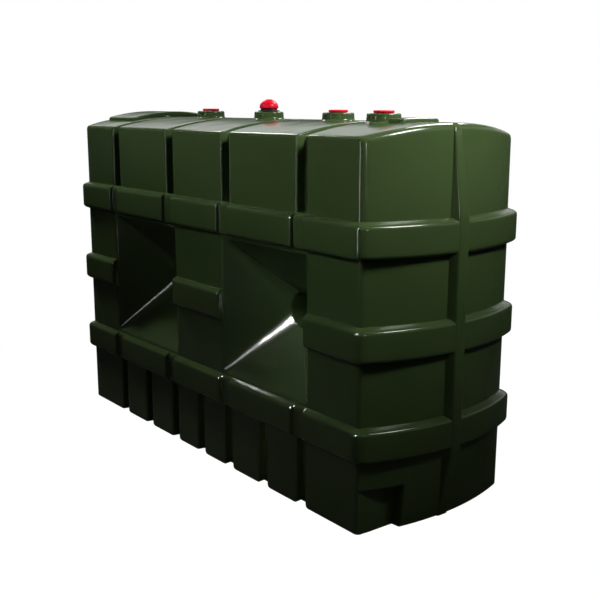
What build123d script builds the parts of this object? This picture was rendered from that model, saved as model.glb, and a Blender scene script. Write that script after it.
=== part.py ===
from build123d import *
import os

# Heating oil tank, moulded as one polyethylene skin and divided here where its forms change.
# Millimetres. X runs along the long sides, the long front side faces -Y, Z is up from the ground.

# Body
body_length = 1909          # between the corners of the two ends
body_width = 700            # between the long faces
end_bow = 84                # how far each end swells out at mid width
wall = 8                    # thickness of the moulded skin
corner_radius = 28

# Heights of the base, the bands and the hood
lower_band_bottom = 252
middle_band_bottom = 587
upper_band_bottom = 920
band_height = 125
roof_edge_height = 1300
crown_rise = 43
seam_inset = 8              # from the rounding of the roof's edge down to the roof's seam

# Horizontal bands, with sloping flanks
band_proud = 26
band_flank = 12             # height of each sloping flank
band_notch_width = 62
band_notch_depth = 11

# Swell of the ends at the ground and at the roof
base_bow = 58
roof_bow = 60

# Bays along each long side
bay_center = 430            # from mid length to the middle of a bay
groove_offset = 227         # from the middle of a bay to the groove at each side of it

# Grooves of the hood and the roof
hood_groove_width = 50
hood_groove_depth = 36
roof_groove_depth = 12
roof_edge_radius = 24
shoulder_margin = 1         # from the walls out to where the rounding of the roof's edge would start

# Grooves of the base, flared at the ground
base_groove_width = 46
base_groove_depth = 30
base_flare_radius = 26
base_flare_height = 21      # of the flare's center above the ground

# Recess at the foot of each end
foot_recess_height = 157
foot_recess_length = 160    # along the end, from the front corner

# Ribs up the middle of each end
rib_width = 44

# Pockets of the long sides, which run in to a round tube from face to face
pocket_width = 534
pocket_corner_radius = 44
pocket_depth = 194          # from the long face to the back of the pocket's wall
tube_radius = 68
tube_ledge = 5              # between the tube and each slanting wall of its pocket
tube_stub = 18              # straight part of the tube moulded with each pocket

# Bosses on the roof, each with a threaded hole
boss_radius = 58
boss_height = 27            # above the crown
boss_chamfer = 5
hole_radius = 29
thread_clearance = 0.5
outlet_boss_x = 723
outlet_boss_y = -58

# Screw caps, and the vent on the middle boss
cap_flange_radius = 36
cap_flange_height = 10
cap_chamfer = 4
stem_length = 18
collar_flange_radius = 43
collar_flange_height = 5
collar_radius = 32
collar_height = 10
dome_radius = 38
dome_rim_height = 5
dome_height = 34

# Raised pads on the roof
pad_height = 13
pad_corner_radius = 16
pad_clearance = 4           # round the outlet boss, where it stands in a pad
left_pad_length = 240
left_pad_width = 456
left_pad_reach = 10.5       # past the corners of the left end, over its swell
right_pad_length = 86
right_pad_width = 177
right_pad_gap = 97.5        # short of the corners of the right end

# Levels and lines that follow from the sizes above
sqrt2 = 2**0.5
lower_band_top = lower_band_bottom + band_height
upper_band_top = upper_band_bottom + band_height
roof_top = roof_edge_height + crown_rise
roof_seam = roof_edge_height - roof_edge_radius - seam_inset
half_length = body_length / 2
half_width = body_width / 2
crown_radius = (half_width**2 + crown_rise**2) / (2 * crown_rise)
crown_center = roof_top - crown_radius
roof_end_radius = (half_width**2 + roof_bow**2) / (2 * roof_bow)
rib_face = half_length + end_bow + band_proud
rib_top = roof_top - roof_edge_radius * (2 - sqrt2)
far = body_length + body_width      # reaches past any part of the body
groove_lines = [side * bay_center + step for side in (-1, 1) for step in (-groove_offset, groove_offset)]
base_groove_lines = groove_lines + [-bay_center, 0, bay_center]
pocket_height = upper_band_bottom - lower_band_top
pocket_middle = (upper_band_bottom + lower_band_top) / 2
tube_start = half_width - pocket_depth
tie_end = tube_start - tube_stub
left_pad_center = left_pad_length / 2 - left_pad_reach - half_length
right_pad_center = half_length - right_pad_gap - right_pad_length / 2
stem_radius = hole_radius - thread_clearance
boss_top = roof_top + boss_height

os.makedirs("parts", exist_ok=True)


def plan_at(height, grow, bow):
    """Plan of the body at one height: straight long sides, bowed ends and rounded corners."""
    edge_x = half_length + grow
    edge_y = half_width + grow
    with BuildSketch(Plane.XY.offset(height)) as plan:
        with BuildLine():
            Line((-edge_x, -edge_y), (edge_x, -edge_y))
            ThreePointArc((edge_x, -edge_y), (edge_x + bow, 0), (edge_x, edge_y))
            Line((edge_x, edge_y), (-edge_x, edge_y))
            ThreePointArc((-edge_x, edge_y), (-edge_x - bow, 0), (-edge_x, -edge_y))
        make_face()
        fillet(plan.vertices(), corner_radius + grow)
    return plan.sketch


def skin_between(outer, inner):
    """The moulded skin between an outer form and the space inside it."""
    with BuildPart() as skin:
        add(outer)
        add(inner, mode=Mode.SUBTRACT)
    return skin.part


def save_block(form, name, low, high):
    """Save what lies between two opposite corners of a block as a piece of its own."""
    size = [top - bottom for bottom, top in zip(low, high)]
    with BuildPart() as piece:
        add(form)
        with Locations(low):
            Box(*size, align=Align.MIN, mode=Mode.INTERSECT)
    piece.part.label = name
    export_step(piece.part, f"parts/{name}.step")


def save_level(form, name, bottom, top):
    """Save what lies between two heights as a piece of its own."""
    save_block(form, name, (-far, -far, bottom), (far, far, top))


def rib_solid(bottom, top, face_bottom, face_top):
    """Upright rib on each end, whose face leans from one distance to another."""
    with BuildPart() as rib:
        with BuildSketch(Plane.XZ):
            with BuildLine():
                Polyline(
                    (half_length, bottom), (face_bottom, bottom), (face_top, top), (half_length, top),
                    close=True,
                )
            make_face()
        extrude(amount=rib_width / 2, both=True)
        mirror(about=Plane.YZ)
    return rib.part


# Base, with grooves that flare at the ground and a recess at the foot of each end
def base_grooves(inset):
    """Upright grooves of both long sides, each with a foot that opens in an arc at each side."""
    width = base_groove_width + 2 * inset
    flare = base_flare_radius - inset
    centers = [x + side * (width / 2 + flare) for x in base_groove_lines for side in (-1, 1)]
    with BuildPart() as grooves:
        with BuildSketch(Plane.XZ.offset(half_width - base_groove_depth - inset)):
            with Locations([(x, base_flare_height) for x in base_groove_lines]):
                Rectangle(width + 2 * flare, far, align=(Align.CENTER, Align.MAX))
            with Locations([(center, base_flare_height) for center in centers]):
                Circle(flare, mode=Mode.SUBTRACT)
            with Locations([(x, 0) for x in base_groove_lines]):
                Rectangle(width, far)
        extrude(amount=half_width)
        mirror(about=Plane.XZ)
    return grooves.part


def foot_recesses(inset):
    """Blocks that leave each end flat at its foot, from the front corner on."""
    with BuildPart() as recesses:
        with Locations((
            half_length - inset, foot_recess_length - half_width + inset, foot_recess_height + inset,
        )):
            Box(far, far, far, align=(Align.MIN, Align.MAX, Align.MAX))
        mirror(about=Plane.YZ)
    return recesses.part


def base_form(inset):
    """The base up to the lower band, inset by the wall for the space inside."""
    with BuildPart() as form:
        loft([
            plan_at(inset, -inset, base_bow),
            plan_at(lower_band_bottom, -inset, end_bow),
        ], ruled=True)
        add(base_grooves(inset), mode=Mode.SUBTRACT)
        add(foot_recesses(inset), mode=Mode.SUBTRACT)
    return form.part


base_ribs = rib_solid(0, lower_band_bottom, half_length + base_bow, rib_face)
with BuildPart() as base_outer:
    add(base_form(0))
    add(base_ribs)
base_skin = skin_between(base_outer.part, base_form(wall))
save_level(base_skin, "floor", 0, wall)
save_level(base_skin, "base", wall, lower_band_bottom)


# Bands, set back a little where the grooves of the hood meet them
def band_form(bottom, inset):
    """One band all round, inset by the wall for the space inside."""
    with BuildPart() as form:
        extrude(plan_at(bottom + inset, band_proud - inset, end_bow), amount=band_height - 2 * inset)
        rims = form.edges().group_by(Axis.Z)
        chamfer(rims[0] + rims[-1], band_flank, band_proud)
    return form.part


def notched(form, bottom, inset):
    """A band with a shallow notch in line with each groove of the hood."""
    with BuildPart() as cut:
        add(form)
        for x in groove_lines:
            for side, outward in ((-1, Align.MAX), (1, Align.MIN)):
                with Locations((x, side * (half_width + band_proud - band_notch_depth - inset), bottom)):
                    Box(
                        band_notch_width + 2 * inset, far, band_height,
                        align=(Align.CENTER, outward, Align.MIN), mode=Mode.SUBTRACT,
                    )
    return cut.part


def band_skin(bottom):
    """A band's hollow skin, open to the level above it and the level below it."""
    with BuildPart() as core:
        extrude(plan_at(bottom, -wall, end_bow), amount=band_height)
    with BuildPart() as inner:
        add(notched(band_form(bottom, wall), bottom, wall))
        add(core.part)
    return skin_between(notched(band_form(bottom, 0), bottom, 0), inner.part)


save_level(band_skin(lower_band_bottom), "lower_band", lower_band_bottom, lower_band_top)
save_level(band_skin(upper_band_bottom), "upper_band", upper_band_bottom, upper_band_top)


# Middle of the body: two ends and two columns, with the pockets between them
def middle_form(inset):
    """The body between the lower and upper bands, with the middle band round it."""
    with BuildPart() as form:
        extrude(plan_at(lower_band_top, -inset, end_bow), amount=pocket_height)
        add(band_form(middle_band_bottom, inset))
    return form.part


with BuildPart() as middle_outer:
    add(middle_form(0))
    add(rib_solid(lower_band_top, upper_band_bottom, rib_face, rib_face))
middle_skin = skin_between(middle_outer.part, middle_form(wall))

pocket_edge_near = bay_center - pocket_width / 2
pocket_edge_far = bay_center + pocket_width / 2
level = (lower_band_top, upper_band_bottom)
save_block(middle_skin, "left_end", (-far, -far, level[0]), (-pocket_edge_far, far, level[1]))
save_block(middle_skin, "right_end", (pocket_edge_far, -far, level[0]), (far, far, level[1]))
save_block(middle_skin, "front_column", (-pocket_edge_near, -far, level[0]), (pocket_edge_near, 0, level[1]))
save_block(middle_skin, "back_column", (-pocket_edge_near, 0, level[0]), (pocket_edge_near, far, level[1]))


# Pockets: four slanting walls, rounded where they meet, that run in to a round tube
def funnel(inset):
    """Solid funnel from the pocket's mouth in the front face to the stub of its tube."""
    width = pocket_width - 2 * inset
    height = pocket_height - 2 * inset
    bore = tube_radius + wall - inset
    throat = bore + tube_ledge
    with BuildPart() as form:
        with Locations((bay_center, -half_width, pocket_middle)):
            Wedge(
                width, pocket_depth - inset, height, width / 2 - throat, height / 2 - throat,
                width / 2 + throat, height / 2 + throat, align=(Align.CENTER, Align.MIN, Align.CENTER),
            )
        fillet(form.edges().group_by(Axis.Y)[1], pocket_corner_radius - inset)
        with BuildSketch(Plane.XZ.offset(tie_end)):
            with Locations((bay_center, pocket_middle)):
                Circle(bore)
        extrude(amount=pocket_depth / 2)
    return form.part


with BuildPart() as pocket:
    add(funnel(0))
    add(funnel(wall), mode=Mode.SUBTRACT)

for name, lengthwise, across in (
    ("front_right_pocket", 1, 1), ("front_left_pocket", -1, 1),
    ("back_right_pocket", 1, -1), ("back_left_pocket", -1, -1),
):
    with BuildPart() as placed:
        add(pocket.part)
        if lengthwise < 0:
            mirror(about=Plane.YZ, mode=Mode.REPLACE)
        if across < 0:
            mirror(about=Plane.XZ, mode=Mode.REPLACE)
    placed.part.label = name
    export_step(placed.part, f"parts/{name}.step")

with BuildPart() as tie_tubes:
    with BuildSketch(Plane.XZ):
        with Locations((-bay_center, pocket_middle), (bay_center, pocket_middle)):
            Circle(tube_radius + wall)
            Circle(tube_radius, mode=Mode.SUBTRACT)
    extrude(amount=tie_end, both=True)
tie_tubes.part.label = "tie_tubes"
export_step(tie_tubes.part, "parts/tie_tubes.step")


# Hood and roof: a box under a crown, with grooves down its sides and across its roof
def cross_section(half, radius):
    """Section across the hood: upright sides and rounded shoulders under the crown."""
    with BuildSketch(Plane.YZ) as section:
        Rectangle(2 * (half + shoulder_margin), 2 * far)
        with Locations((0, crown_center)):
            Circle(radius, mode=Mode.INTERSECT)
        fillet(section.vertices().group_by(Axis.Z)[-1], roof_edge_radius)
    return section.sketch


def end_bevels(inset):
    """What the bevels take off the roof's end edges: slanting cylinders follow both bow and crown."""
    bevel_depth = roof_edge_radius * (sqrt2 - 1)
    bevel_radius = sqrt2 / (1 / roof_end_radius + 1 / crown_radius)
    end_edge = Plane(
        (half_length + roof_bow - inset, 0, roof_top - inset), x_dir=(0, 1, 0), z_dir=(1, 0, -1)
    )
    with BuildPart() as bevels:
        with BuildSketch(end_edge):
            with Locations((0, -bevel_depth - bevel_radius)):
                Rectangle(2 * far, 2 * far, align=(Align.CENTER, Align.MIN))
                Circle(bevel_radius, mode=Mode.SUBTRACT)
        extrude(amount=roof_top / 2, both=True)
        mirror(about=Plane.YZ)
    return bevels.part


def hood_form(inset):
    """The hood above the upper band, inset by the wall for the space inside."""
    with BuildPart() as form:
        loft([
            plan_at(upper_band_top, -inset, end_bow),
            plan_at(roof_top, -inset, roof_bow),
        ], ruled=True)
        extrude(
            cross_section(half_width - inset, crown_radius - inset),
            amount=far, both=True, mode=Mode.INTERSECT,
        )
        add(end_bevels(inset), mode=Mode.SUBTRACT)
    return form.part


def grooved(form, inset):
    """A form with the grooves cut into it: over each one's width, all outside its floor goes."""
    width = hood_groove_width + 2 * inset
    floor = cross_section(half_width - hood_groove_depth - inset, crown_radius - roof_groove_depth - inset)
    with BuildPart() as ring:
        Box(width, far, 2 * far)
        extrude(floor, amount=width, both=True, mode=Mode.SUBTRACT)
    with BuildPart() as cut:
        add(form)
        with Locations([(x, 0, 0) for x in groove_lines]):
            add(ring.part, mode=Mode.SUBTRACT)
    return cut.part


with BuildPart() as hood_outer:
    add(grooved(hood_form(0), 0))
    add(rib_solid(upper_band_top, rib_top, rib_face, half_length + roof_bow))
hood_skin = skin_between(hood_outer.part, grooved(hood_form(wall), wall))
save_level(hood_skin, "hood", upper_band_top, roof_seam)
save_level(hood_skin, "roof", roof_seam, far)


# Roof fittings
def roof_cylinder(height):
    """Long cylinder whose top follows the crown at a height above it."""
    with BuildPart() as crown:
        with BuildSketch(Plane.YZ):
            with Locations((0, crown_center)):
                Circle(crown_radius + height)
        extrude(amount=far, both=True)
    return crown.part


vent_place = (0, 0)
outlet_place = (outlet_boss_x, outlet_boss_y)
cap_places = [(-bay_center, 0), (bay_center, 0), outlet_place]

crown = roof_cylinder(0)
pad_crown = roof_cylinder(pad_height)

for name, center, length, width in (
    ("left_pad", left_pad_center, left_pad_length, left_pad_width),
    ("right_pad", right_pad_center, right_pad_length, right_pad_width),
):
    with BuildPart() as pad:
        with BuildSketch(Plane.XY.offset(roof_edge_height)):
            with Locations((center, 0)):
                RectangleRounded(length, width, pad_corner_radius)
            with Locations(outlet_place):
                Circle(boss_radius + pad_clearance, mode=Mode.SUBTRACT)
        extrude(amount=crown_rise + pad_height)
        add(pad_crown, mode=Mode.INTERSECT)
        add(crown, mode=Mode.SUBTRACT)
    pad.part.label = name
    export_step(pad.part, f"parts/{name}.step")


with BuildPart() as bosses:
    with BuildSketch(Plane.XY.offset(roof_edge_height)):
        with Locations(vent_place, *cap_places):
            Circle(boss_radius)
            Circle(hole_radius, mode=Mode.SUBTRACT)
    extrude(amount=boss_top - roof_edge_height)
    chamfer(bosses.edges().group_by(Axis.Z)[-1].filter_by(lambda edge: edge.radius > hole_radius), boss_chamfer)
    add(crown, mode=Mode.SUBTRACT)
bosses.part.label = "bosses"
export_step(bosses.part, "parts/bosses.step")

standing = (Align.CENTER, Align.CENTER, Align.MIN)
hanging = (Align.CENTER, Align.CENTER, Align.MAX)
dome_sphere_radius = (dome_radius**2 + (dome_height - dome_rim_height)**2) / (2 * (dome_height - dome_rim_height))

with BuildPart() as vent_cap:
    Cylinder(dome_radius, dome_height, align=standing)
    with Locations((0, 0, dome_height - dome_sphere_radius)):
        Sphere(dome_sphere_radius, mode=Mode.INTERSECT)

with BuildPart() as screw_cap:
    Cylinder(cap_flange_radius, cap_flange_height, align=standing)
    chamfer(screw_cap.edges().group_by(Axis.Z)[0], cap_chamfer)
    Cylinder(stem_radius, stem_length, align=hanging)

with BuildPart() as caps:
    with Locations([(x, y, boss_top) for x, y in cap_places]):
        add(screw_cap.part)
    with Locations((*vent_place, boss_top + collar_flange_height + collar_height)):
        add(vent_cap.part)
caps.part.label = "caps"
export_step(caps.part, "parts/caps.step")

with BuildPart(Plane((*vent_place, boss_top))) as vent_collar:
    Cylinder(stem_radius, stem_length, align=hanging)
    Cylinder(collar_flange_radius, collar_flange_height, align=standing)
    Cylinder(collar_radius, collar_flange_height + collar_height, align=standing)
vent_collar.part.label = "vent_collar"
export_step(vent_collar.part, "parts/vent_collar.step")
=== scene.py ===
# %% [markdown]
# # A slim heating oil tank
# The real tank is one hollow moulding of glossy dark green polyethylene. Three bands run all round
# it, each long side has two funnel-shaped pockets, and screw caps and a vent stand on its roof.
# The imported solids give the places. Each cell below lays a finer surface over them, worked out with
# numpy from named sizes, and gives it a finish made of shader nodes.

import bmesh
import bpy
import numpy as np
from mathutils import Matrix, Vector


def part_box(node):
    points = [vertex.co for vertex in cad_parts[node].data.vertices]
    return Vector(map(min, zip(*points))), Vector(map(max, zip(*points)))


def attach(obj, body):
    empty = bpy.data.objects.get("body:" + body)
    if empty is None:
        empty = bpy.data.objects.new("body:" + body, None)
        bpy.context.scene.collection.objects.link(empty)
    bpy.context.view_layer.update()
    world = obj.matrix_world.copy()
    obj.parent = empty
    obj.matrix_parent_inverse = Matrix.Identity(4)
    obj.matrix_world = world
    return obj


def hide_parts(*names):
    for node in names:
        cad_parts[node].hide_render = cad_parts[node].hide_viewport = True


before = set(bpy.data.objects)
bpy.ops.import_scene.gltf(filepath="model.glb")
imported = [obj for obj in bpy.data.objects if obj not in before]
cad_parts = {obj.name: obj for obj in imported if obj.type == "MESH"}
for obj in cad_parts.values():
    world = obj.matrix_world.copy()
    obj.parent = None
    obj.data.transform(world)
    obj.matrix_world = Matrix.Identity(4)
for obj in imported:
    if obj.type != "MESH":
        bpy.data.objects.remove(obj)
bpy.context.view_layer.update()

# %% [markdown]
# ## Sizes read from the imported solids
# Heights and reaches come from the boxes of the CAD nodes, so that the surfaces follow the solids
# when these are changed. What a box can't tell, such as the width of a groove, is a named value.
# Values typed in for every height would also work, but would go wrong with the next change of size.

# %% Sizes of the body, in metres
band_low, band_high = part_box("lower_band")
upper_low, upper_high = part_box("upper_band")
pocket_low, pocket_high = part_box("front_right_pocket")

half_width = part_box("hood")[1].y
half_length = 0.9545   # to where the bow of an end begins
end_bow = 0.084        # how far an end swells out at mid width
rib_step = 0.0015      # by which a rib stands out from the faces of the bands
band_proud = band_high.y - half_width - rib_step
band_height = band_high.z - band_low.z
lower_band, middle_band, upper_band = band_low.z, 0.587, upper_low.z
hood_bottom = upper_high.z
roof_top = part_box("roof")[1].z
crown_rise = 0.043     # of the roof at mid width, above its edges
crown_radius = (half_width**2 + crown_rise**2) / (2 * crown_rise)
base_bow = 0.058
roof_bow = 0.060
groove_lines = [-0.657, -0.203, 0.203, 0.657]
bay_center = (pocket_low.x + pocket_high.x) / 2
print("half width", half_width, "roof", roof_top, "bay", bay_center)

# %% [markdown]
# ## Helpers for surfaces
# A moulded form is a section carried along a path. `rounded` turns a few corner points into a
# smooth line whose corners are quadratic curves, always with the same number of points, so two such
# lines can be blended point by point. `surface` puts a grid of points into a mesh and closes its
# seams by merging points that coincide. Blender's own bevels would round these edges too. Lines
# worked out beforehand were chosen because a bevel breaks down where a band, a notch and a bowed
# end meet, and a grid of four-sided faces shades without dents.

# %% Lines with rounded corners
def rounded(corners, radii, counts, steps=6):
    """Corner points joined by straight runs, each corner cut back by its radius and replaced by
    the quadratic curve a(1-t)^2 + 2bt(1-t) + ct^2 between the two cuts and the corner."""
    corners = np.asarray(corners, float)
    t = np.linspace(0, 1, steps + 1)[:, None]
    line, start = [], corners[0]
    for index in range(1, len(corners)):
        here = corners[index]
        run = here - corners[index - 1]
        last = index == len(corners) - 1
        radius = 0 if last else radii[index]
        end = here - run / np.linalg.norm(run) * radius
        line.append(start + (end - start) * np.linspace(0, 1, counts[index - 1] + 1)[:-1, None])
        if radius:
            after = corners[index + 1] - here
            out = here + after / np.linalg.norm(after) * radius
            line.append((end * (1 - t)**2 + 2 * here * t * (1 - t) + out * t**2)[:-1])
            start = out
        else:
            start = here
    line.append(start[None])
    return np.concatenate(line)


# %% Grids of points made into meshes
def surface(name, grids, merge=1e-6):
    """One mesh from several grids of points: each cell of a grid is a face of four corners."""
    points, faces, offset = [], [], 0
    for grid in grids:
        rows, columns = grid.shape[:2]
        index = np.arange(rows * columns).reshape(rows, columns) + offset
        faces.append(np.stack(
            [index[:-1, :-1], index[1:, :-1], index[1:, 1:], index[:-1, 1:]], axis=-1
        ).reshape(-1, 4))
        points.append(grid.reshape(-1, 3))
        offset += rows * columns
    mesh = bpy.data.meshes.new(name)
    mesh.from_pydata(np.concatenate(points).tolist(), [], np.concatenate(faces).tolist())
    tidy = bmesh.new()
    tidy.from_mesh(mesh)
    bmesh.ops.remove_doubles(tidy, verts=tidy.verts, dist=merge)
    bmesh.ops.dissolve_degenerate(tidy, edges=tidy.edges, dist=merge)
    tidy.to_mesh(mesh)
    tidy.free()
    mesh.polygons.foreach_set("use_smooth", np.ones(len(mesh.polygons), bool))
    mesh.update()
    piece = bpy.data.objects.new(name, mesh)
    bpy.context.scene.collection.objects.link(piece)
    print(name, len(mesh.polygons), "faces")
    return piece


def finish_piece(piece, material, slot, *nodes):
    """Gives a piece its material, hangs it under the root body and hides the CAD nodes that it stands for.
    The slot is not used.
    """
    piece.data.materials.clear()
    piece.data.materials.append(material)
    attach(piece, "root")
    if nodes:
        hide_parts(*nodes)
    return piece


# %% Swelling ends
def swell(y, bow):
    """How far an end stands out at distance y from mid width: the height of a circle that passes
    through both corners of the end and stands out by the bow at mid width."""
    radius = (half_width**2 + bow**2) / (2 * bow)
    return np.sqrt(radius**2 - np.clip(y, -half_width, half_width)**2) - radius + bow


def bow_at(z):
    """The bow shrinks in a straight line below the lower band and above the upper one."""
    return np.interp(z, [0, lower_band, hood_bottom, roof_top], [base_bow, end_bow, end_bow, roof_bow])


def crown_at(y):
    """Height of the roof's crown at distance y from mid width, a circle through both edges."""
    return roof_top - crown_radius + np.sqrt(crown_radius**2 - y**2)


# %% [markdown]
# ## Plans of the body
# Each level of the body has a plan: two straight long sides, two bowed ends and four rounded
# corners, with cuts where grooves or notches come. Only the front half is worked out, from mid
# left end to mid right end, and the back half is its mirror image. A quarter would do, since left and
# right match too, but with a half the cuts can stay one list of places.

# %% Half plans
corner_cut = 0.013
cut_edge = 0.008


def end_run(proud, cut, marks=()):
    """Points of half an end, from mid width to where the rounding of its corner starts."""
    edge = half_width + proud
    y = np.union1d(np.linspace(0, edge - 1.05 * cut, 12), marks)
    return np.stack([half_length + proud + swell(y * half_width / edge, end_bow), -y], axis=1)


def plan_front(proud=0.0, cuts=(), width=0.05, depth=0.03, cut=corner_cut, marks=()):
    """Corner points of the front half, with a square cut of some width and depth at each place."""
    run = end_run(proud, cut, marks)
    edge = half_width + proud
    corners = [*(run * [-1, 1]), (-half_length - proud, -edge)]
    radii = [0] * len(run) + [cut]
    counts = [1] * len(run)
    for x in cuts:
        corners += [(x - width / 2, -edge), (x - width / 2, depth - edge),
                    (x + width / 2, depth - edge), (x + width / 2, -edge)]
        radii += [cut_edge, cut_edge / 2, cut_edge / 2, cut_edge]
        counts += [12, 2, 3, 2]
    corners += [(half_length + proud, -edge), *run[::-1]]
    radii += [cut] + [0] * len(run)
    counts += [12] + [1] * len(run)
    return rounded(corners, radii, counts)


def around(front):
    """Closes a front half, an array of points along a path, with its mirror image."""
    mirrored = front[::-1][1:] * np.array([1, -1] + [1] * (front.shape[-1] - 2))
    return np.concatenate([front, mirrored])


def stack_levels(plans, heights):
    """Puts plan points, one row of them for each height, at those heights and fits the ends' bow."""
    z = np.broadcast_to(np.asarray(heights)[None, :], plans.shape[:2])
    x, y = plans[..., 0], plans[..., 1]
    x = x + np.sign(x) * (swell(y, bow_at(z)) - swell(y, end_bow))
    return np.stack([x, y, z], axis=-1)


# %% [markdown]
# ## Base
# The base stands on the ground between upright grooves, which open in an arc at their feet so that
# the moulding lets go of its tool. The wall is one grid: the plan gives its rows and the height its
# columns. Two more plans, one with wider cuts and one drawn in, are blended in near the ground.

# %% Base wall and underside
base_lines = [-0.657, -0.430, -0.203, 0.0, 0.203, 0.430, 0.657]
base_groove = dict(cuts=base_lines, depth=0.030)
groove_width = 0.046
flare_radius, flare_height = 0.026, 0.021
foot_round = 0.009
recess_height, recess_reach = 0.157, 0.190
recess_soft = 0.004


def step(value, place, soft):
    """Rises from 0 to 1 around a place, over a soft stretch, along t*t*(3-2t)."""
    t = np.clip((value - place) / soft + 0.5, 0, 1)
    return t * t * (3 - 2 * t)


recess_marks = recess_reach + recess_soft * np.linspace(-0.5, 0.5, 5)
plain = plan_front(width=groove_width, marks=recess_marks, **base_groove)
flared = plan_front(width=groove_width + 2 * flare_radius, marks=recess_marks, **base_groove)
drawn_in = plan_front(
    -foot_round, width=groove_width + 2 * foot_round, marks=recess_marks, **base_groove)

turn = np.linspace(0, np.pi / 2, 7)
foot_heights = foot_round * (1 - np.cos(turn))
heights = np.concatenate([
    foot_heights,
    np.linspace(foot_round, flare_height, 5)[1:],
    np.linspace(flare_height, recess_height - recess_soft, 6)[1:],
    recess_height + recess_soft * np.linspace(-0.5, 0.5, 5),
    np.linspace(recess_height + recess_soft, lower_band + 0.004, 5),
])
inward = np.interp(heights, foot_heights, foot_round * (1 - np.sin(turn)))
opening = flare_radius - np.sqrt(flare_radius**2 - np.clip(flare_height - heights, 0, None)**2)
halves = (
    plain[:, None]
    + (flared - plain)[:, None] * (opening / flare_radius)[None, :, None]
    + (drawn_in - plain)[:, None] * (inward / foot_round)[None, :, None]
)
wall_grid = stack_levels(halves, heights)
beyond = np.abs(wall_grid[..., 0]) - half_length
recessed = (
    step(-wall_grid[..., 1], recess_reach, recess_soft)
    * step(-heights, -recess_height, recess_soft)[None]
)
wall_back = wall_grid.copy()
wall_grid[..., 0] -= np.sign(wall_grid[..., 0]) * np.clip(beyond, 0, None) * recessed
mirrored_wall = wall_back[::-1] * [1, -1, 1]
underside_front = wall_grid[:, 0]
underside_back = wall_back[:, 0] * [1, -1, 1]
share = np.linspace(1, 0, 5)[None, :, None]
underside = underside_front[:, None] + (underside_back - underside_front)[:, None] * share
base_piece = surface("base_moulding", [wall_grid, mirrored_wall, underside])

# %% [markdown]
# ## Bands
# A band is a section, with sloping flanks and soft edges, carried round the plan. Where the grooves
# of the hood meet it, it is set back a little. Two plans with the same points, one at the band's
# root and one at its face, are blended by the section, so the notches come with the path.

# %% Band section and path
notch_width, notch_depth = 0.062, 0.015
band_flank, band_edge = 0.012, 0.011   # the slope of a flank over its height, and the soft edge
face_cut = 0.032                       # rounding of a band's upright corners
ledge = 0.040                          # how far a band's root runs in behind the wall


def band_section(bottom, top):
    """Line of a band's section: how far it stands out, and its height."""
    return rounded(
        [(-ledge, bottom), (0, bottom), (band_proud, bottom + band_flank),
         (band_proud, top - band_flank), (0, top), (-ledge, top)],
        [0, 0, band_edge, band_edge, 0, 0], [1, 3, 4, 3, 1],
    )


def band_surface(root, face, flat_face, bottom, top):
    """Blends from the root to the face by the section's reach, and inwards behind the root."""
    reach, height = band_section(bottom, top).T
    out = np.clip(reach, 0, None)[None, :, None] / band_proud
    back = np.clip(reach, None, 0)[None, :, None] / band_proud
    plan = root[:, None] + (face - root)[:, None] * out + (flat_face - root)[:, None] * back
    return np.concatenate([plan, np.broadcast_to(height[None, :, None], plan.shape[:2] + (1,))], axis=-1)


def straight_side(plan, y):
    """A copy of a plan whose points along the long side all lie at the same distance y."""
    flat = plan.copy()
    flat[np.abs(plan[:, 0]) < half_length - 2 * face_cut, 1] = y
    return flat


notched_face = plan_front(band_proud, groove_lines, notch_width, notch_depth, face_cut)
notched_root = plan_front(0.0, groove_lines, notch_width, notch_depth, face_cut)
root_plan = straight_side(notched_root, -half_width)
flat_plan = straight_side(notched_face, -half_width - band_proud)
bands = {}
for name, bottom in (("lower_band", lower_band), ("upper_band", upper_band)):
    half = band_surface(root_plan, notched_face, flat_plan, bottom, bottom + band_height)
    bands[name] = surface(f"{name}_moulding", [around(half)])

# %% [markdown]
# ## Middle
# Between the outer bands the body is two bowed ends and a column on each side, with the middle band
# across them. The band stops at each pocket, so its path turns in there and closes its end.

# %% Ends, columns and the middle band
pocket_half_x, pocket_half_z = 0.259, 0.2635
pocket_margin = 0.012
pocket_middle = (pocket_low.z + pocket_high.z) / 2
panel_near = bay_center - pocket_half_x - pocket_margin
panel_far = bay_center + pocket_half_x + pocket_margin
panel_heights = pocket_middle + (pocket_half_z + pocket_margin) * np.linspace(-1, 1, 9)
tuck = 0.010


def upright(plan):
    """An upright wall over a plan, between the lower and the upper band."""
    return stack_levels(np.repeat(plan[:, None], len(panel_heights), axis=1), panel_heights)


def both_ends(grid):
    """The right end's grid and its mirror image at the left end."""
    return [grid, grid[::-1] * [-1, 1, 1]]


def both_sides(grid):
    """The front grid and its mirror image at the back."""
    return [grid, grid[::-1] * [1, -1, 1]]


def end_path(proud, cut, start, lead=()):
    """Plan of the right end, from a place on the front long side round to the back."""
    run = end_run(proud, cut)[::-1]
    front = [*lead, (start, -half_width - proud), (half_length + proud, -half_width - proud), *run]
    radii = [0] * len(lead) + [band_edge if lead else 0, cut] + [0] * len(run)
    counts = [2] * len(lead) + [8] + [1] * len(run)
    return around(rounded(front, radii, counts))


end_wall = upright(end_path(0.0, corner_cut, panel_far))
column_plan = np.stack([np.linspace(-panel_near, panel_near, 9), np.full(9, -half_width)], axis=1)
column_wall = upright(column_plan)

band_start = bay_center + pocket_half_x + 0.002
strip_root = end_path(0.0, face_cut, band_start, lead=[(band_start, tuck - half_width)])
strip_face = end_path(band_proud, face_cut, band_start, lead=[(band_start, tuck - half_width)])
near_side = strip_root[:, 0] < half_length - 2 * face_cut
strip_root[near_side, 0] = strip_face[near_side, 0]
strip_root[near_side, 1] = np.sign(strip_root[near_side, 1]) * half_width
middle_ends = band_surface(strip_root, strip_face, strip_face, middle_band, middle_band + band_height)

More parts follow.
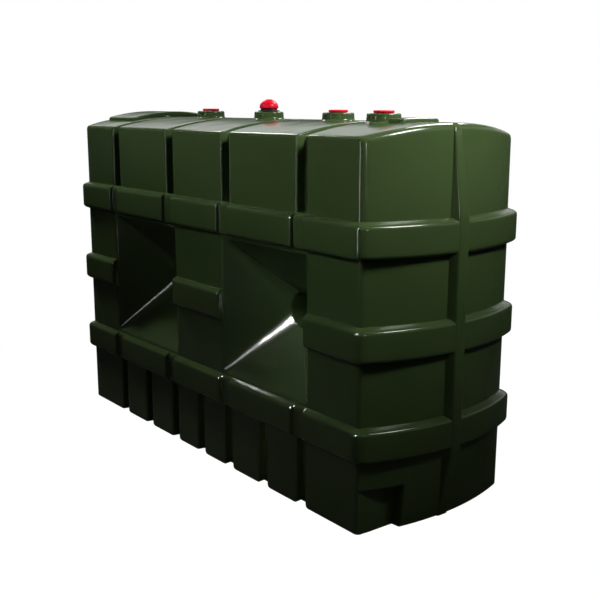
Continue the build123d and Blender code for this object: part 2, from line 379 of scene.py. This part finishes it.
strip_end = bay_center - pocket_half_x - 0.002
column_face = rounded(
    [(-strip_end, tuck - half_width), (-strip_end, -half_width - band_proud),
     (strip_end, -half_width - band_proud), (strip_end, tuck - half_width)],
    [0, band_edge, band_edge, 0], [2, 8, 2],
)
column_root = np.stack([column_face[:, 0], np.full(len(column_face), -half_width)], axis=1)
middle_columns = band_surface(column_root, column_face, column_face, middle_band, middle_band + band_height)

ends_piece = surface("ends_moulding", both_ends(end_wall) + both_ends(middle_ends))
columns_piece = surface("columns_moulding", both_sides(column_wall) + both_sides(middle_columns))

# %% [markdown]
# ## Pockets
# Each pocket is a funnel with four slanting walls that runs in to a round tube, so that the two
# sides of the tank are tied together. Its rows go round the mouth, a rectangle with round corners,
# and each row runs from the face over a soft rim, down the slant and round into the tube. Corner arcs
# of the mouth fan out over most of the tube's circle, which gives the cone-shaped creases.

# %% Pocket and tube
mouth_radius = 0.014
tube_radius = 0.068
pocket_reach = 0.186
rim_cut, throat_cut = 0.010, 0.007
corner_share = 62
tube_stub_end = 0.212


def curve(start, middle, end, steps):
    """The quadratic curve from start to end that leaves and arrives along the lines to middle."""
    t = np.linspace(0, 1, steps + 1)[None, :, None]
    return start[:, None] * (1 - t)**2 + 2 * middle[:, None] * t * (1 - t) + end[:, None] * t**2


def straight(start, end, steps):
    """Points along the straight line from start to end, both included."""
    t = np.linspace(0, 1, steps + 1)[None, :, None]
    return start[:, None] * (1 - t) + end[:, None] * t


def mouth_and_circle(arc_steps=10, flat_steps=12):
    """Matching points of the mouth, with a unit outward direction, and of the circle's angles."""
    mouth, outward, angles = [], [], []
    for quarter in range(4):
        turn = np.radians(90 * quarter + np.linspace(0, 90, arc_steps + 1))
        signs = np.sign([np.cos(turn[arc_steps // 2]), np.sin(turn[arc_steps // 2])])
        direction = np.stack([np.cos(turn), np.sin(turn)], axis=1)
        center = signs * (np.array([pocket_half_x, pocket_half_z]) - mouth_radius)
        mouth.append(center + mouth_radius * direction)
        outward.append(direction)
        half_gap = (90 - corner_share) / 2
        angles.append(90 * quarter + np.linspace(half_gap, 90 - half_gap, arc_steps + 1))
    line_mouth, line_outward, line_angles = [], [], []
    for quarter in range(4):
        after = (quarter + 1) % 4
        t = np.linspace(0, 1, flat_steps + 1)[1:-1, None]
        line_mouth += [mouth[quarter], mouth[quarter][-1] * (1 - t) + mouth[after][0] * t]
        line_outward += [outward[quarter], outward[quarter][-1] * (1 - t) + outward[after][0] * t]
        start = angles[quarter][-1]
        line_angles += [angles[quarter], start + (90 - corner_share) * t[:, 0]]
    closing = [mouth[0][:1]], [outward[0][:1]], [angles[0][:1] + 360]
    return (np.concatenate(line_mouth + closing[0]), np.concatenate(line_outward + closing[1]),
            np.radians(np.concatenate(line_angles + closing[2])))


def at_depth(flat, depth):
    """Places points of the pocket's own plane, across and up, at a depth behind the front face."""
    return np.stack([
        flat[:, 0] + bay_center, np.full(len(flat), depth - half_width), flat[:, 1] + pocket_middle
    ], axis=1)


mouth, outward, angles = mouth_and_circle()
circle = tube_radius * np.stack([np.cos(angles), np.sin(angles)], axis=1)
panel_half = np.array([pocket_half_x, pocket_half_z]) + pocket_margin
rim = at_depth(mouth, 0.0)
throat = at_depth(circle, pocket_reach)
slope = (throat - rim) / np.linalg.norm(throat - rim, axis=1, keepdims=True)
face_edge = at_depth(np.clip(mouth + 0.1 * outward, -panel_half, panel_half), 0.0)
rim_out = at_depth(mouth + rim_cut * outward, 0.0)
into_tube = throat + [0, throat_cut, 0]
tube_end = at_depth(circle, tube_stub_end)
pocket_grid = np.concatenate([
    straight(face_edge, rim_out, 2)[:, :-1],
    curve(rim_out, rim, rim + slope * rim_cut, 6)[:, :-1],
    straight(rim + slope * rim_cut, throat - slope * throat_cut, 16)[:, :-1],
    curve(throat - slope * throat_cut, throat, into_tube, 8)[:, :-1],
    straight(into_tube, tube_end, 6),
], axis=1)

pocket_pieces = {}
for name, along, across in (
    ("front_right_pocket", 1, 1), ("front_left_pocket", -1, 1),
    ("back_right_pocket", 1, -1), ("back_left_pocket", -1, -1),
):
    placed = pocket_grid * [along, across, 1]
    pocket_pieces[name] = surface(f"{name}_moulding", [placed[::along * across]])

tube_grid = straight(tube_end, tube_end * [1, -1, 1], 6)
tubes_piece = surface("tie_tubes_moulding", both_ends(tube_grid))

# %% [markdown]
# ## Hood and roof
# Above the upper band one arch runs up the front, over the crowned roof and down the back. Grooves
# cross it at four places, deep in the walls and shallow in the roof. The surface blends an outer
# arch with an inner one by a groove profile along X, and closes in to a third arch at the bowed ends.

# %% Arches and the groove profile
hood_groove_width, hood_groove_depth, roof_groove_depth = 0.050, 0.036, 0.012
groove_edge, groove_foot = 0.010, 0.006   # roundings of a groove, outside and inside
shoulder_cut = 0.014                      # rounding between wall and roof
end_edge = 0.022                          # rounding between the long faces and the ends
end_inset = 0.040
swell_start = 0.70                        # from here on the levels stretch towards the bowed end
hood_start = hood_bottom - 0.004


def arch(inset, drop):
    """Section across the hood, drawn in by an inset at the walls and by a drop at the crown."""
    side = half_width - inset
    y = np.linspace(-side + 1.6 * shoulder_cut, side - 1.6 * shoulder_cut, 31)
    center = roof_top - crown_radius
    height = center + np.sqrt((crown_radius - drop)**2 - np.append(y, side)**2)
    corners = [(-side, hood_start), (-side, height[-1]), *zip(y, height[:-1]),
               (side, height[-1]), (side, hood_start)]
    radii = [0, shoulder_cut] + [0] * len(y) + [shoulder_cut, 0]
    return rounded(corners, radii, [10, 1] + [1] * (len(y) - 1) + [1, 10])


outer_arch = arch(0, 0)
groove_arch = arch(hood_groove_depth, roof_groove_depth)
end_arch = arch(end_inset, end_inset)

corners = [(-half_length, end_inset), (-half_length, 0)]
radii, counts = [0, end_edge], [2, 6]
for x in groove_lines:
    left, right = x - hood_groove_width / 2, x + hood_groove_width / 2
    corners += [(left, 0), (left, hood_groove_depth), (right, hood_groove_depth), (right, 0)]
    radii += [groove_edge, groove_foot, groove_foot, groove_edge]
    counts += [3, 3, 3, 12]
counts[-1] = 6
corners += [(half_length, 0), (half_length, end_inset)]
radii += [end_edge, 0]
counts += [2]
along_x, inset = rounded(corners, radii, counts).T
at_end = np.abs(along_x) > half_length - 0.1
groove_share = np.where(at_end, 0, inset / hood_groove_depth)[:, None, None]
end_share = np.where(at_end, inset / end_inset, 0)[:, None, None]
section = outer_arch + (groove_arch - outer_arch) * groove_share + (end_arch - outer_arch) * end_share
stretch = np.clip((np.abs(along_x) - swell_start) / (half_length - end_edge - swell_start), 0, 1)[:, None]
swelling = swell(section[..., 0], bow_at(section[..., 1]))
hood_x = along_x[:, None] + np.sign(along_x)[:, None] * swelling * stretch
hood_grid = np.concatenate([hood_x[..., None], section], axis=-1)

rim_points = hood_grid[-1]
half_count = len(rim_points) // 2 + 1
share = np.linspace(0, 1, 21)[:, None]
front_rim, back_rim = rim_points[:half_count], rim_points[::-1][:half_count]
end_y = front_rim[None, :, 1] * (1 - share) + back_rim[None, :, 1] * share
end_z = np.broadcast_to(front_rim[None, :, 2], end_y.shape)
end_face = np.stack([half_length + swell(end_y, bow_at(end_z)), end_y, end_z], axis=-1)
hood_piece = surface("hood_moulding", [hood_grid] + both_ends(end_face))

# %% [markdown]
# ## Ribs
# An upright rib stiffens the middle of each end. It leans out from the foot to the lower band, stands
# a little out from the bands' faces between them, and leans back and narrows up to the roof's edge.
# One section, a flat face between two slanting flanks, is placed at each height, as a loft would do.

# %% Ribs of the two ends
rib_half, rib_half_top = 0.046, 0.030   # half widths at the root of the flanks
rib_face_share, rib_sunk = 0.48, 0.035  # share of the face, and depth of the flanks
rib_soft = 0.16                         # rounding of the face's edges, as a share of the half width
rib_shoulder, rib_tip = 0.016, 0.001    # below the roof's top, where the face turns in and ends
rib_proud_top, tip_sunk = 0.006, 0.010  # how far the face stands out there, and lies back
rib_face = half_length + end_bow + band_proud + rib_step
rib_knots = [0, lower_band, hood_bottom, roof_top - rib_shoulder, roof_top - rib_tip]
rib_z = np.concatenate(
    [np.linspace(a, b, 13)[:-1] for a, b in zip(rib_knots, rib_knots[1:])] + [rib_knots[-1:]])
roof_reach = half_length + roof_bow
reaches = [half_length + base_bow, rib_face, rib_face, roof_reach + rib_proud_top, roof_reach - tip_sunk]
face_x = np.interp(rib_z, rib_knots, reaches)
half_y = np.interp(rib_z, rib_knots, [rib_half, rib_half, rib_half, rib_half_top, rib_half_top])
across, sunk = rounded(
    [(-1, 1), (-rib_face_share, 0), (rib_face_share, 0), (1, 1)],
    [0, rib_soft, rib_soft, 0], [4, 4, 4]
).T
rib_grid = np.stack([
    face_x[None, :] - rib_sunk * sunk[:, None],
    across[:, None] * half_y[None, :],
    np.broadcast_to(rib_z[None, :], (len(across), len(rib_z))),
], axis=-1)
ribs_piece = surface("ribs_moulding", both_ends(rib_grid))

# %% [markdown]
# ## Roof pads
# Two low pads are raised on the roof, to carry fittings that this tank doesn't have. Each is
# a rounded rectangle whose edge rolls over into a top that follows the crown. A raised cut-out of
# the roof's mesh would need its own grid anyway, so the pads are grids laid over the roof.

# %% Pads that follow the crown
pad_roll, pad_rim = 0.008, 0.012
pad_corner, pad_height, pad_sunk = 0.016, 0.013, 0.006
left_pad_rise = 0.010


def pad_surface(name, center, length, width, height, rise):
    """A rim rolled over from the roof to the top, and a top ruled from front to back."""
    def outline(inset):
        half_x, half_y = length / 2 - inset, width / 2 - inset
        front = rounded(
            [(-half_x, 0), (-half_x, -half_y), (half_x, -half_y), (half_x, 0)],
            [0, pad_corner, pad_corner, 0], [8, 12, 8],
        )
        return front + [center, 0]

    def top_at(y):
        return crown_at(y) + height + rise * (1 - (2 * y / width)**2)

    drawn, drop = rounded([(0, height + pad_sunk), (0, 0), (pad_rim, 0)], [0, pad_roll, 0], [2, 2]).T
    wide, narrow = outline(0.0), outline(pad_rim)
    plan = wide[:, None] + (narrow - wide)[:, None] * (drawn / pad_rim)[None, :, None]
    z = top_at(plan[..., 1]) - drop[None, :]
    front = np.concatenate([plan, z[..., None]], axis=-1)
    inner = front[:, -1]
    share = np.linspace(0, 1, 13)[None, :]
    y = inner[:, 1:2] * (1 - 2 * share)
    x = np.broadcast_to(inner[:, :1], y.shape)
    top = np.stack([x, y, top_at(y)], axis=-1)
    return surface(name, [front, front[::-1] * [1, -1, 1], top])


left_low, left_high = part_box("left_pad")
right_low, right_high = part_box("right_pad")
pad_pieces = {
    name: pad_surface(
        f"{name}_moulding", (low.x + high.x) / 2, high.x - low.x, high.y - low.y, height, rise
    )
    for name, low, high, height, rise in (
        ("left_pad", left_low, left_high, pad_height, left_pad_rise),
        ("right_pad", right_low, right_high, pad_height, 0.0),
    )
}

# %% [markdown]
# ## Bosses, caps and vent
# Round pieces are turned: a profile line of radius and height is swept round an upright axis. The
# screw caps have small grips round their edge, which is a ripple in the radius. Blender's Screw
# modifier turns a profile as well, but couldn't ripple it.

# %% Turned pieces
boss_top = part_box("bosses")[1].z
boss_radius = 0.058
boss_flare, boss_foot_cut = 0.012, 0.006
socket_radius, socket_depth = 0.031, 0.012
vent_place = (0.0, 0.0)
outlet_place = (0.735, -0.058)
cap_places = [(-bay_center, 0.0), (bay_center, 0.0), outlet_place]


def turned(profile, place, sides=72, grips=0, ripple=0.0):
    """Sweeps a line of radius and height round an axis, the radius rippled by the grips' cosine."""
    angle = np.linspace(0, 2 * np.pi, sides + 1)[:, None]
    radius = profile[None, :, 0] * (1 + ripple * (np.cos(grips * angle) - 1) * (profile[None, :, 0] > 0.02))
    return np.stack([
        place[0] + radius * np.cos(angle), place[1] + radius * np.sin(angle),
        np.broadcast_to(profile[None, :, 1], radius.shape),
    ], axis=-1)


def boss_profile(y):
    """A foot that curves up from the roof, a slightly tapered side, a soft rim and a socket."""
    foot = crown_at(y)
    return rounded(
        [(boss_radius + boss_flare, foot - 0.004), (boss_radius + 0.002, foot), (boss_radius, boss_top),
         (socket_radius, boss_top), (socket_radius - 0.002, boss_top - socket_depth)],
        [0, boss_foot_cut, boss_foot_cut, 0.002, 0], [2, 3, 4, 2],
    )


bosses_piece = surface("bosses_moulding", [
    turned(boss_profile(y), (x, y)) for x, y in [vent_place, *cap_places]
])

cap_radius, cap_height = 0.036, 0.010
thread_radius, dish_radius, dish_level = 0.028, 0.024, 0.007
cap_profile = rounded(
    [(thread_radius, boss_top - 0.004), (thread_radius, boss_top), (cap_radius - 0.003, boss_top),
     (cap_radius, boss_top + 0.003), (cap_radius, boss_top + cap_height),
     (dish_radius, boss_top + cap_height), (dish_radius - 0.002, boss_top + dish_level),
     (0, boss_top + dish_level)],
    [0, 0, 0.001, 0.002, 0.003, 0.002, 0.002, 0], [1, 1, 1, 2, 3, 2, 3],
)
dome_bottom = boss_top + 0.011
collar_radius, neck_radius, collar_edge = 0.043, 0.034, 0.005
collar_profile = rounded(
    [(0.030, boss_top - 0.004), (collar_radius, boss_top), (collar_radius, boss_top + collar_edge),
     (neck_radius, boss_top + 0.006), (neck_radius - 0.002, dome_bottom + 0.002),
     (0.010, dome_bottom + 0.002)],
    [0, 0.001, 0.0015, 0.002, 0.001, 0], [1, 2, 2, 4, 2],
)
collar_piece = surface(
    "vent_collar_ring", [turned(collar_profile, vent_place, sides=160, grips=40, ripple=0.01)])

dome_radius = 0.038
dome_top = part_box("caps")[1].z
dome_skirt = 0.006
sweep = np.linspace(0, np.pi / 2, 17)
dome_arc = np.stack([
    dome_radius * np.cos(sweep),
    dome_bottom + dome_skirt + (dome_top - dome_bottom - dome_skirt) * np.sin(sweep)
], axis=1)
dome_foot = rounded(
    [(0.028, dome_bottom + 0.001), (dome_radius - 0.001, dome_bottom + 0.001), dome_arc[0]],
    [0, 0.002, 0], [2, 2],
)
dome_profile = np.concatenate([dome_foot[:-1], dome_arc])
caps_piece = surface("red_caps", [
    turned(cap_profile, place, sides=192, grips=32, ripple=0.008) for place in cap_places
] + [turned(dome_profile, vent_place)])

# %% [markdown]
# ## Finishes
# A material is a network of nodes. It could be drawn by hand in the shader editor; here `Value` wraps
# an output of a node, so that the formulas below read as sums and products, and its method `add`
# puts in any other node.

# %% Shader arithmetic
class Value:
    """An output of a node in a material's tree; arithmetic on it adds Math nodes to the tree."""

    def __init__(self, tree, socket):
        self.tree, self.socket = tree, socket

    def add(self, kind, settings, inputs, output=0):
        """Puts in a node of a kind, with its settings and inputs, and returns one of its outputs."""
        node = self.tree.nodes.new(kind)
        for key, setting in settings.items():
            setattr(node, key, setting)
        for key, given in inputs.items():
            if isinstance(given, Value):
                self.tree.links.new(given.socket, node.inputs[key])
            else:
                node.inputs[key].default_value = given
        return Value(self.tree, node.outputs[output] if node.outputs else None)

    def math(self, operation, first, second=0.0):
        return self.add("ShaderNodeMath", {"operation": operation}, {0: first, 1: second})

    def __add__(self, other):
        return self.math("ADD", self, other)

    def __sub__(self, other):
        return self.math("SUBTRACT", self, other)

    def __rsub__(self, other):
        return self.math("SUBTRACT", other, self)

    def __mul__(self, other):
        return self.math("MULTIPLY", self, other)

    __radd__, __rmul__ = __add__, __mul__

    def __pow__(self, other):
        return self.math("POWER", self, other)

    def larger(self, other):
        return self.math("MAXIMUM", self, other)

    def noise(self, scale, detail=2.0, roughness=0.5):
        """Noise over the coordinates held here, about 0.5 with a scale in waves to the metre."""
        return self.add("ShaderNodeTexNoise", {}, {
            "Vector": self, "Scale": scale, "Detail": detail, "Roughness": roughness})

    def blend(self, low, high):
        """Mixes two colours by the factor held here."""
        return self.add("ShaderNodeMix", {"data_type": "RGBA"}, {0: self, 6: low, 7: high}, 2)

    def bump(self, distance, strength=1.0):
        """A normal tilted by the height held here, in metres for each unit."""
        return self.add("ShaderNodeBump", {}, {"Height": self, "Distance": distance, "Strength": strength})


def material(name, build):
    """A material whose shader's inputs are what `build` works out from the Object coordinates."""
    made = bpy.data.materials.new(name)
    made.use_nodes = True
    tree = made.node_tree
    tree.nodes.clear()
    coordinates = tree.nodes.new("ShaderNodeTexCoord")
    shader = Value(tree, None).add(
        "ShaderNodeBsdfPrincipled", {}, build(Value(tree, coordinates.outputs["Object"])))
    shader.add("ShaderNodeOutputMaterial", {}, {"Surface": shader})
    return made


# %% [markdown]
# The skin is rotationally moulded polyethylene: glossy, with a faint orange peel where it left the
# mould and a slow waviness, because it cools freely. Dust on it dulls the gloss a little in patches.
# The waviness is a bump and not a shape: it is a fraction of a millimetre, and shows only in the gloss.
# The caps and the collar are injection moulded, so they have a fine even grain instead.

# %% Green polyethylene
skin_dark, skin_light = (0.030, 0.052, 0.016, 1), (0.040, 0.065, 0.022, 1)


def green_skin(place):
    patches = place.noise(3.0, 3.0)
    peel = place.noise(160.0, 1.0)
    waves = place.noise(7.0, 1.0)
    return {
        "Base Color": patches.blend(skin_dark, skin_light),
        "Roughness": 0.12 + patches * 0.08,
        "Specular IOR Level": 0.25,
        "Normal": (peel * 0.12 + waves * 3.0).bump(0.001),
    }


def red_plastic(place):
    grain = place.noise(600.0, 2.0)
    tone = place.noise(40.0, 2.0)
    return {
        "Base Color": tone.blend((0.50, 0.002, 0.014, 1), (0.62, 0.004, 0.022, 1)),
        "Roughness": 0.30 + grain * 0.08,
        "Specular IOR Level": 0.12,
        "Normal": grain.bump(0.0001),
    }


def black_plastic(place):
    grain = place.noise(500.0, 2.0)
    tone = place.noise(60.0, 2.0)
    return {
        "Base Color": tone.blend((0.010, 0.010, 0.010, 1), (0.018, 0.018, 0.019, 1)),
        "Roughness": 0.40 + grain * 0.10,
        "Specular IOR Level": 0.12,
        "Normal": grain.bump(0.0001),
    }


skin = material("green_polyethylene", green_skin)
red = material("red_cap_plastic", red_plastic)
black = material("black_vent_plastic", black_plastic)

# %% [markdown]
# ## Dressing the solids
# Each surface takes the place of the solids that it follows, which are hidden then. The ribs are a
# surface of their own over the base, the bands and the hood, so they take the place of none.

# %% Pieces and the solids they stand for
dressed = [
    (base_piece, skin, "body", ["base", "floor"]),
    (ends_piece, skin, "body", ["left_end", "right_end"]),
    (columns_piece, skin, "body", ["front_column", "back_column"]),
    (hood_piece, skin, "body", ["hood", "roof"]),
    (ribs_piece, skin, "body", []),
    (bosses_piece, skin, "body", ["bosses"]),
    (tubes_piece, skin, "body", ["tie_tubes"]),
    (caps_piece, red, "caps", ["caps"]),
    (collar_piece, black, "collar", ["vent_collar"]),
    *((piece, skin, "body", [name]) for name, piece in {**bands, **pocket_pieces, **pad_pieces}.items()),
]
for piece, finish, slot, nodes in dressed:
    finish_piece(piece, finish, slot, *nodes)
left_over = sorted(set(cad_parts) - {name for *_, nodes in dressed for name in nodes})
print("solids shown as they are:", left_over)

# %% [markdown]
# ## Studio
# The photograph shows the tank cut out on white. Floor and world are white only to the camera, and
# the floor still takes the tank's shadow. Reflections see white in a belt behind the tank, a little
# above the horizon, which lightens the roof as in the photograph. To all else the room is dim: a room
# white all round was tried, and washed the dark green out to grey.

# %% World
room_strength = 0.05
world = bpy.data.worlds.new("studio")
bpy.context.scene.world = world
world.use_nodes = True
world.node_tree.nodes.clear()
empty_value = Value(world.node_tree, None)
room = empty_value.add("ShaderNodeBackground", {}, {"Color": (1, 1, 1, 1), "Strength": room_strength})
path = world.node_tree.nodes.new("ShaderNodeLightPath")
camera_ray = Value(world.node_tree, path.outputs["Is Camera Ray"])
glossy_ray = Value(world.node_tree, path.outputs["Is Glossy Ray"])
clear_ray = Value(world.node_tree, path.outputs["Is Transmission Ray"])
direction = world.node_tree.nodes.new("ShaderNodeTexCoord")
looking = Value(world.node_tree, direction.outputs["Generated"])
backward, height = (
    empty_value.add("ShaderNodeSeparateXYZ", {}, {0: looking}, axis) for axis in (1, 2)
)
belt_edges = ((backward, 0.0, 0.3), (height, 0.13, 0.28), (height, 0.34, 0.46))
behind, above, below = (
    along.add("ShaderNodeMapRange", {"interpolation_type": "SMOOTHSTEP"}, {
        "Value": along, "From Min": low, "From Max": high})
    for along, low, high in belt_edges
)
belt = behind * above * (1 - below)
seen = camera_ray.larger(glossy_ray * belt).larger(clear_ray)
white = seen.add("ShaderNodeBackground", {}, {"Color": (1, 1, 1, 1), "Strength": 1.0})
mixed = seen.add("ShaderNodeMixShader", {}, {0: seen, 1: room, 2: white})
seen.add("ShaderNodeOutputWorld", {}, {"Surface": mixed})
print("world nodes:", len(world.node_tree.nodes))

# %% [markdown]
# The floor is a large plane. Its surface adds an even white, for the camera alone, to a grey that
# scatters light: the white hides the edge of the floor, and the grey keeps the shadow.

# %% Floor
floor_size = 30.0
floor_albedo = 0.12
bpy.ops.mesh.primitive_plane_add(size=floor_size, location=(0, 0, 0))
floor_plane = bpy.context.object
floor_plane.name = "studio_floor"
floor_finish = bpy.data.materials.new("studio_floor")
floor_finish.use_nodes = True
tree = floor_finish.node_tree
tree.nodes.clear()
floor_value = Value(tree, None)
floor_shader = floor_value.add("ShaderNodeBsdfDiffuse", {}, {"Color": (floor_albedo,) * 3 + (1,)})
floor_path = tree.nodes.new("ShaderNodeLightPath")
floor_seen = Value(tree, floor_path.outputs["Is Camera Ray"]) * (1 - room_strength * floor_albedo)
floor_white = floor_seen.add("ShaderNodeEmission", {}, {"Color": (1, 1, 1, 1), "Strength": floor_seen})
floor_both = floor_seen.add("ShaderNodeAddShader", {}, {0: floor_shader, 1: floor_white})
floor_value.add("ShaderNodeOutputMaterial", {}, {"Surface": floor_both})
floor_plane.data.materials.append(floor_finish)

# %% [markdown]
# ## Lamps
# Two soft lamps light the sides that the camera sees, and two like them the sides that it doesn't.
# Their beams are narrow and aim at the top of the tank, because the light in the photograph falls off
# quickly towards the ground. A gloss this dark shows its lamps as thin bright lines, and each line
# asks for a lamp of its own in the place that its edge reflects: the grooves and notches, the rib,
# the shoulder of the roof, the bands and the crease of the near pocket. Those lamps only glint.

# %% Lamps
def area_light(name, place, target, size, power, beam=180, lit=True, glint=True):
    """A soft light with a width and a height, turned to face a target, whose beam spreads over an
    angle. One that isn't lit only shows as a glint, and one without a glint only lights."""
    lamp = bpy.data.lights.new(name, "AREA")
    lamp.shape, lamp.energy = "RECTANGLE", power
    lamp.size, lamp.size_y = size
    lamp.spread = np.radians(beam)
    light = bpy.data.objects.new(name, lamp)
    bpy.context.scene.collection.objects.link(light)
    direction = np.array(target) - np.array(place)
    light.location = place
    light.visible_camera, light.visible_diffuse, light.visible_glossy = False, lit, glint
    light.rotation_euler = Matrix(facing(direction)).to_euler()
    return light


def facing(direction):
    """Rotation whose local -Z looks along a direction, with local Y as near to upright as can be."""
    back = -np.asarray(direction, float) / np.linalg.norm(direction)
    up = np.array([0.0, 0.0, 1.0]) if abs(back[2]) < 0.99 else np.array([0.0, 1.0, 0.0])
    right = np.cross(up, back)
    right /= np.linalg.norm(right)
    return np.stack([right, np.cross(back, right), back], axis=1).tolist()


area_light("front_key", (-0.1, -2.1, 2.6), (0.45, -0.35, 1.44), (2.3, 0.6), 5.8, beam=40, glint=False)
area_light("end_key", (2.6, 0.6, 3.1), (1.0, 0.0, 1.68), (0.9, 0.9), 10.5, beam=39)
area_light("back_key", (0.0, 2.1, 2.6), (0.0, 0.35, 1.20), (2.6, 0.6), 6.0, beam=50, glint=False)
area_light("left_key", (-2.6, -0.6, 3.1), (-1.0, 0.0, 1.30), (0.9, 0.9), 10, beam=44, glint=False)
area_light("edge_strip", (0.0, -4.0, 1.1), (0.7, -0.35, 0.9), (0.3, 1.4), 26, lit=False)
area_light("near_strip", (3.4, -1.7, 1.45), (1.0, 0.0, 1.2), (0.3, 0.4), 11, lit=False)
area_light("back_left_box", (-2.1, 0.43, 2.9), (0.3, -0.37, 1.0), (1.2, 0.4), 18, lit=False)
area_light("back_right_box", (-0.1, 2.0, 3.3), (1.0, 0.0, 1.0), (1.2, 0.6), 90, lit=False)
area_light("crease_light", (0.6, -2.3, 1.6), (0.42, -0.3, 0.55), (0.5, 0.5), 30, beam=30, lit=False)
print("lamps:", len(bpy.data.lights))

# %% [markdown]
# ## Camera
# The camera stands off the near right corner, about as high as the roof, and looks slightly down.
# Its place and turn were solved from the tank's upright and level edges in the photograph. A camera
# could also be placed by eye, but then no size read from the photograph would hold.

# %% Camera
camera_yaw, camera_pitch, camera_roll = np.radians([51.829, 12.017, 0.14])
camera_place = (3.043966, -2.231525, 1.397358)
camera_data = bpy.data.cameras.new("camera")
camera_data.lens, camera_data.sensor_width = 55.03, 36.0
camera = bpy.data.objects.new("camera", camera_data)
bpy.context.scene.collection.objects.link(camera)
level = np.cos(camera_pitch)
back = np.array([np.sin(camera_yaw) * level, -np.cos(camera_yaw) * level, np.sin(camera_pitch)])
right = np.array([np.cos(camera_yaw), np.sin(camera_yaw), 0.0])
up = np.cross(back, right)
rolled_right = np.cos(camera_roll) * right + np.sin(camera_roll) * up
rolled_up = np.cos(camera_roll) * up - np.sin(camera_roll) * right
camera.matrix_world = Matrix.Translation(camera_place) @ Matrix(
    np.stack([rolled_right, rolled_up, back], axis=1).tolist()
).to_4x4()
bpy.context.scene.camera = camera
bpy.context.scene.view_settings.view_transform = "Standard"

print("camera at", camera_place)
